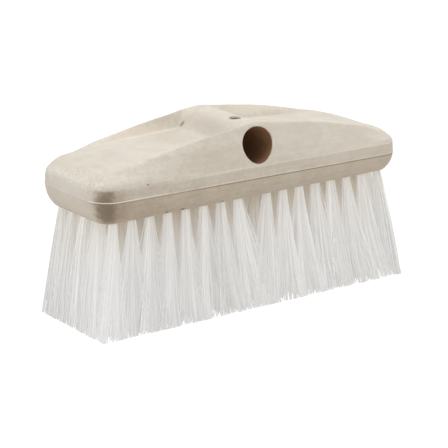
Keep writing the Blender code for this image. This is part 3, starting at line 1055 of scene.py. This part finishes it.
@dataclass
class Tufts:
    """Eighty tufts of straight filaments, fanned out from round holes and trimmed flat."""

    block: Block

    # Holes: each row stands a step further left than the one before it.
    rows: int = 5
    columns: int = 16
    row_pitch: float = 0.0134
    column_pitch: float = 0.0142
    centre_gap: float = 0.0250
    row_step: float = 0.0013
    sunk: float = 0.0035

    # Tips: the pitch of the tufts' middles, how they drift and close over the centre gap, and
    # the brush's outline.
    tip_pitch: tuple = (0.0168, 0.0166)
    drift: float = 0.0045
    closing: tuple = (0.0080, -0.0050)
    fan: float = 0.0148
    tuft_stray: float = 1.0 * MM
    lock_stray: tuple = (0.0022, 0.0012)
    least: tuple = (-0.1266, -0.0401)
    most: tuple = (0.1307, 0.0390)
    slack: tuple = (0.0006, 0.0003)

    # Filaments: their radius and their inset in the hole as shares of their thickness, how locks
    # gather them, how short they are cut at least, by lock and singly, and how they bow and bend.
    filaments: int = 190
    thickness: float = 0.00050
    radius_share: float = 0.55
    inset_share: float = 0.9
    locks: int = 10
    lock_reach: float = 0.85
    gather: float = 0.34
    scatter: float = 0.12
    trim: tuple = (0.1 * MM, 0.30 * MM, 0.28 * MM)
    bow: float = 0.7 * MM
    bend_scatter: float = 0.14
    bend_range: tuple = (0.55, 1.9)
    path_shares: tuple = (0.0, 0.07, 0.16, 0.3, 0.5, 0.75, 1.0)
    tone_scatter: tuple = (0.035, 0.03)
    # Painted shade on the front rows' left half, as a share of darkening.
    front_left_shade: float = 0.045
    seed: int = 11

    def places(self) -> np.ndarray:
        """Holes in rows of sixteen with a wider gap at mid-length, each row a step to the left.

        Returns:
            Rows by columns by x and y.
        """
        half = self.centre_gap / 2 + self.column_pitch * np.arange(self.columns // 2)
        x = np.concatenate([-half[::-1], half])
        number = np.arange(self.rows) - (self.rows - 1) / 2
        grid = np.stack(np.meshgrid(x, self.row_pitch * number), -1)
        grid[:, :, 0] -= self.row_step * number[:, None]
        return grid

    def tip_middle(self, row: int, column: int) -> np.ndarray:
        """Middle of a tuft at its tips: even cells over the whole brush, drifted to the right.

        Args:
            row: the tuft's row.
            column: the tuft's column.

        Returns:
            Its x and y.
        """
        number = np.array([column - (self.columns - 1) / 2, row - (self.rows - 1) / 2])
        middle = number * self.tip_pitch + np.array([self.drift, 0])
        inner = column - self.columns // 2 + 1
        if row == 0 and inner in (0, 1):
            middle[0] += self.closing[inner]
        return middle

    def spread(self, row: int, column: int) -> Spread:
        """Picks how late a tuft spreads: late at the front and in the middle, else early.

        Args:
            row: the tuft's row.
            column: the tuft's column.

        Returns:
            The choice.
        """
        middle = (self.columns // 2 - 1, self.columns // 2)
        if column == self.columns - 1:
            return Spread.EVEN if row == 0 else Spread.EARLIEST
        if row == 0 and 0 < column < middle[0]:
            return Spread.LATEST
        if row == 0 or column in middle:
            return Spread.LATE
        if column == 0:
            return Spread.EVEN if row == self.rows - 1 else Spread.EARLIER
        return Spread.EARLY

    def front_left_shading(self, row: int, column: int) -> float:
        """How much darker a tuft is painted, as painted shade: a little on the front rows' left half, but
        for the end.
        """
        return self.front_left_shade if row < 2 and 0 < column < self.columns // 2 - 1 else 0.0

    def inside(self, row: int, column: int) -> float:
        """1 for a tuft with others all round it and 0 for one at the brush's edge."""
        return float(0 < row < self.rows - 1 and 0 < column < self.columns - 1)

    def fibres(self, row: int, column: int, rng: np.random.Generator) -> tuple[np.ndarray, np.ndarray]:
        """Paths and tones of one tuft's filaments.

        Roots lie on a sunflower spiral, radius R sqrt(i / n) and angle i times the golden
        angle. A tip lies in the same direction from the tuft's middle, spread to the fan's
        radius and drawn a third of the way to its lock's middle. Its lock strays a little, and
        it is held inside the brush's outline. A path is
        root + (tip - root) t^bend + bow 4t(1 - t).

        Args:
            row: the tuft's row.
            column: the tuft's column.
            rng: the source of scatter.

        Returns:
            Filaments by points by x, y and z, and one tone for each filament.
        """
        count = self.filaments
        number = np.arange(count) + 0.5
        angle = number * math.pi * (3 - math.sqrt(5)) + rng.uniform(0, ANY_TURN)
        disc = np.sqrt(number / count)[:, None] * unit_circle(angle)
        lock_middle = rng.uniform(-self.lock_reach, self.lock_reach, (self.locks, 2))
        lock = np.argmin(np.linalg.norm(disc[:, None] - lock_middle, axis=2), axis=1)
        wide = disc + self.gather * (lock_middle[lock] - disc) + rng.normal(0, self.scatter, (count, 2))
        tip = self.tip_middle(row, column) + wide * self.fan + rng.normal(0, self.tuft_stray, 2)
        tip += (rng.normal(0, 1, (self.locks, 2)) * self.lock_stray)[lock]
        slack = rng.gamma(1.0, 1.0, (count, 2)) * self.slack
        tip = np.clip(tip, self.least + slack, self.most - slack)
        least_cut, lock_cut, single_cut = self.trim
        trim = least_cut + rng.gamma(1.0, lock_cut, self.locks)[lock] + rng.gamma(1.0, single_cut, count)

        root_z = self.block.underside + self.sunk
        root = self.places()[row, column] + disc * (self.block.hole / 2 - self.inset_share * self.thickness)
        shares = np.array(self.path_shares)[None, :, None]
        bow = rng.normal(0, self.bow, (count, 1, 2))
        bend = rng.normal(self.spread(row, column).value, self.bend_scatter, (count, 1, 1))
        power = np.clip(bend, *self.bend_range)
        flat = root[:, None] + (tip - root)[:, None] * shares**power + bow * 4 * shares * (1 - shares)
        flat = np.clip(flat, self.least, self.most)
        height = root_z + (trim[:, None, None] - root_z) * shares
        by_lock, singly = self.tone_scatter
        # Painted shade on the front rows' left half, then random tone by lock and by filament.
        tone = 1 - self.front_left_shading(row, column)
        tone = tone + rng.normal(0, by_lock, self.locks)[lock] + rng.normal(0, singly, count)
        return np.concatenate([flat, height], 2), tone

    def mesh(self, name: str, paths: np.ndarray, looks: dict, rng: np.random.Generator) -> bpy.types.Object:
        """Carries a small triangle along every path, closed at both ends.

        A filament stands nearly upright, so its cross-section stays level: each ring's points
        are the path's point + r (cos a, sin a).

        Args:
            name: the piece's name.
            paths: filaments by points by x, y and z.
            looks: attribute names, each with one number for each filament.
            rng: the source of scatter.

        Returns:
            The piece.
        """
        count, steps = paths.shape[:2]
        turn = rng.uniform(0, ANY_TURN, (count, 1)) + np.arange(3) * (2 * math.pi / 3)
        ring = np.concatenate([unit_circle(turn), np.zeros((count, 3, 1))], -1)
        points = paths[:, :, None] + (ring * self.thickness * self.radius_share)[:, None]
        wall = grid_faces(steps, 3, True)[:, ::-1]
        first = (np.arange(count) * steps * 3)[:, None, None]
        quads = (wall[None] + first).reshape(-1)
        ends = np.array([[0, 1, 2], [steps * 3 - 1, steps * 3 - 2, steps * 3 - 3]])
        caps = (ends[None] + first).reshape(-1)
        mesh = bpy.data.meshes.new(name)
        mesh.vertices.add(points.size // 3)
        mesh.vertices.foreach_set("co", points.astype(np.float32).ravel())
        mesh.loops.add(len(quads) + len(caps))
        mesh.loops.foreach_set("vertex_index", np.concatenate([quads, caps]).astype(np.int32))
        sizes = np.concatenate([np.full(len(quads) // 4, 4), np.full(len(caps) // 3, 3)])
        mesh.polygons.add(len(sizes))
        starts = np.concatenate([[0], np.cumsum(sizes)[:-1]])
        mesh.polygons.foreach_set("loop_start", starts.astype(np.int32))
        mesh.update(calc_edges=True)
        mesh.shade_flat()
        for label, values in looks.items():
            layer = mesh.attributes.new(label, "FLOAT", "POINT")
            layer.data.foreach_set("value", np.repeat(values, steps * 3).astype(np.float32))
        return add_object(name, mesh)

    def dress(self, item: bpy.types.Object, node: str) -> None:
        """Puts a piece in the frame in place of a plain pair of tufts.

        Args:
            item: the piece.
            node: the plain pair's name.
        """
        item.visible_diffuse = False
        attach(item, "root")
        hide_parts(node)

    def build(self) -> list:
        """Makes one piece for each pair of tufts and puts it in place of the plain pair.

        Returns:
            The pieces.
        """
        finish = FilamentPlastic().make(self.block)
        rng = np.random.default_rng(self.seed)
        pieces = []
        for row in range(self.rows):
            for pair in range(self.columns // 2):
                columns = (2 * pair, 2 * pair + 1)
                made = [self.fibres(row, column, rng) for column in columns]
                # Inner tufts get the painted shade towards the block.
                inside = [self.inside(row, column) for column in columns]
                paths = np.concatenate([path for path, _ in made])
                looks = {"tone": np.concatenate([tone for _, tone in made]),
                         "inner": np.repeat(inside, self.filaments)}
                tag = f"r{row + 1}_p{pair + 1}"
                item = self.mesh(f"filaments_{tag}", paths, looks, rng)
                item.data.materials.append(finish)
                self.dress(item, f"tufts_{tag}")
                pieces.append(item)
        return pieces


# The studio


@dataclass
class Studio:
    """White sweep, soft lamps and the camera."""

    target: tuple = (-0.00129, 0.0, 0.05086)
    azimuth: float = math.radians(-36.199)
    elevation: float = math.radians(16.093)
    roll: float = math.radians(0.171)
    distance: float = 1.14095
    focal_pixels: float = 1633.02
    frame_pixels: int = 448
    sensor: float = 36.0
    clip: tuple = (0.05, 20.0)
    ambient: float = 0.73
    floor_reach: float = 3.0
    floor_bounce: str = "#e6e3df"
    floor_seen: tuple = (0.2, 0.2, 0.2, 1.0)
    floor_glow: float = 0.90
    white: tuple = (1.0, 1.0, 1.0, 1.0)

    # Each lamp's job, place, width in metres and power in watts.
    lamps: tuple = (
        (Lamp.TOP, (0.0, -0.1, 1.8), 1.4, 17.0),
        (Lamp.KEY, (-1.9, -0.3, 0.35), 1.0, 4.8),
        (Lamp.FILL, (0.8, -1.4, 1.3), 1.2, 3.2),
    )

    @staticmethod
    def in_view(tree: bpy.types.NodeTree) -> bpy.types.NodeSocket:
        """Tells whether the backdrop is looked at or lights something.

        Args:
            tree: the tree that needs to know.

        Returns:
            1 where the camera, a reflection or a clear piece looks at the backdrop, else 0.
        """
        rays = add_node(tree, "LightPath").outputs
        seen = rays["Is Camera Ray"]
        for name in ("Is Glossy Ray", "Is Transmission Ray"):
            seen = add_node(tree, "Math", {0: seen, 1: rays[name]}, operation="MAXIMUM").outputs[0]
        return seen

    def build_floor(self) -> None:
        """Lays the white floor that the tips stand on, with only a faint shadow in view."""
        side = np.array([-1.0, 1.0]) * self.floor_reach
        points = np.stack([*np.meshgrid(side, side), np.zeros((2, 2))], -1)
        floor = mesh_object("floor", points, grid_faces(2, 2, False).tolist())
        material, tree, shader = new_material("white_studio_sweep")
        seen = self.in_view(tree)
        colour = add_node(tree, "Mix", {0: seen, 6: linear(self.floor_bounce), 7: self.floor_seen},
                          data_type="RGBA")
        tree.links.new(colour.outputs[2], shader.inputs["Base Color"])
        glow = add_node(tree, "MapRange", {0: seen, 4: self.floor_glow})
        tree.links.new(glow.outputs[0], shader.inputs["Emission Strength"])
        shader.inputs["Emission Color"].default_value = self.white
        shader.inputs["Roughness"].default_value = 1.0
        shader.inputs["Specular IOR Level"].default_value = 0.0
        floor.data.materials.append(material)

    def build_world(self) -> None:
        """Lights all sides evenly, and shows white where the camera looks past the floor."""
        world = bpy.data.worlds.new("studio")
        world.use_nodes = True
        bpy.context.scene.world = world
        tree = world.node_tree
        level = add_node(tree, "MapRange", {0: self.in_view(tree), 3: self.ambient, 4: 1.0})
        background = tree.nodes["Background"]
        background.inputs["Color"].default_value = self.white
        tree.links.new(level.outputs[0], background.inputs["Strength"])

    def build_lamps(self) -> None:
        """Hangs the soft lamps, each turned to the object."""
        for role, place, size, power in self.lamps:
            data = bpy.data.lights.new(role.value, "AREA")
            data.shape = "SQUARE"
            data.size = size
            data.energy = power
            item = add_object(role.value, data)
            item.location = place
            aim = Vector(self.target) - Vector(place)
            item.rotation_euler = aim.to_track_quat("-Z", "Y").to_euler()

    def build_camera(self) -> None:
        """Places the camera at the photograph's view.

        The camera's back axis is (sin az cos el, -cos az cos el, sin el), and the roll turns
        its right and up axes about it.
        """
        az, el = self.azimuth, self.elevation
        back = Vector((math.sin(az) * math.cos(el), -math.cos(az) * math.cos(el), math.sin(el)))
        right = Vector((0, 0, 1)).cross(back).normalized()
        up = back.cross(right)
        right, up = (right * math.cos(self.roll) + up * math.sin(self.roll),
                     up * math.cos(self.roll) - right * math.sin(self.roll))
        data = bpy.data.cameras.new("camera")
        data.sensor_width = self.sensor
        data.lens = self.focal_pixels * self.sensor / self.frame_pixels
        data.clip_start, data.clip_end = self.clip
        item = add_object("camera", data)
        turn = Matrix((right, up, back)).transposed().to_4x4()
        item.matrix_world = Matrix.Translation(Vector(self.target) + back * self.distance) @ turn
        bpy.context.scene.camera = item

    def build(self) -> None:
        """Sets up the whole studio."""
        self.build_floor()
        self.build_world()
        self.build_lamps()
        self.build_camera()
        bpy.context.scene.view_settings.view_transform = "Standard"


def main() -> None:
    """Builds the studio, the block and the tufts."""
    logging.basicConfig(level=logging.INFO, format="%(name)s: %(message)s")
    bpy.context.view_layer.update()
    Studio().build()
    log.info("studio is set up")
    block = Block()
    tufts = Tufts(block)
    body = block.build(tufts.places().reshape(-1, 2))
    block.dress(body)
    log.info("block_body has %d faces", len(body.data.polygons))
    for piece in tufts.build():
        log.info("%s has %d faces", piece.name, len(piece.data.polygons))


if __name__ == "__main__":
    main()
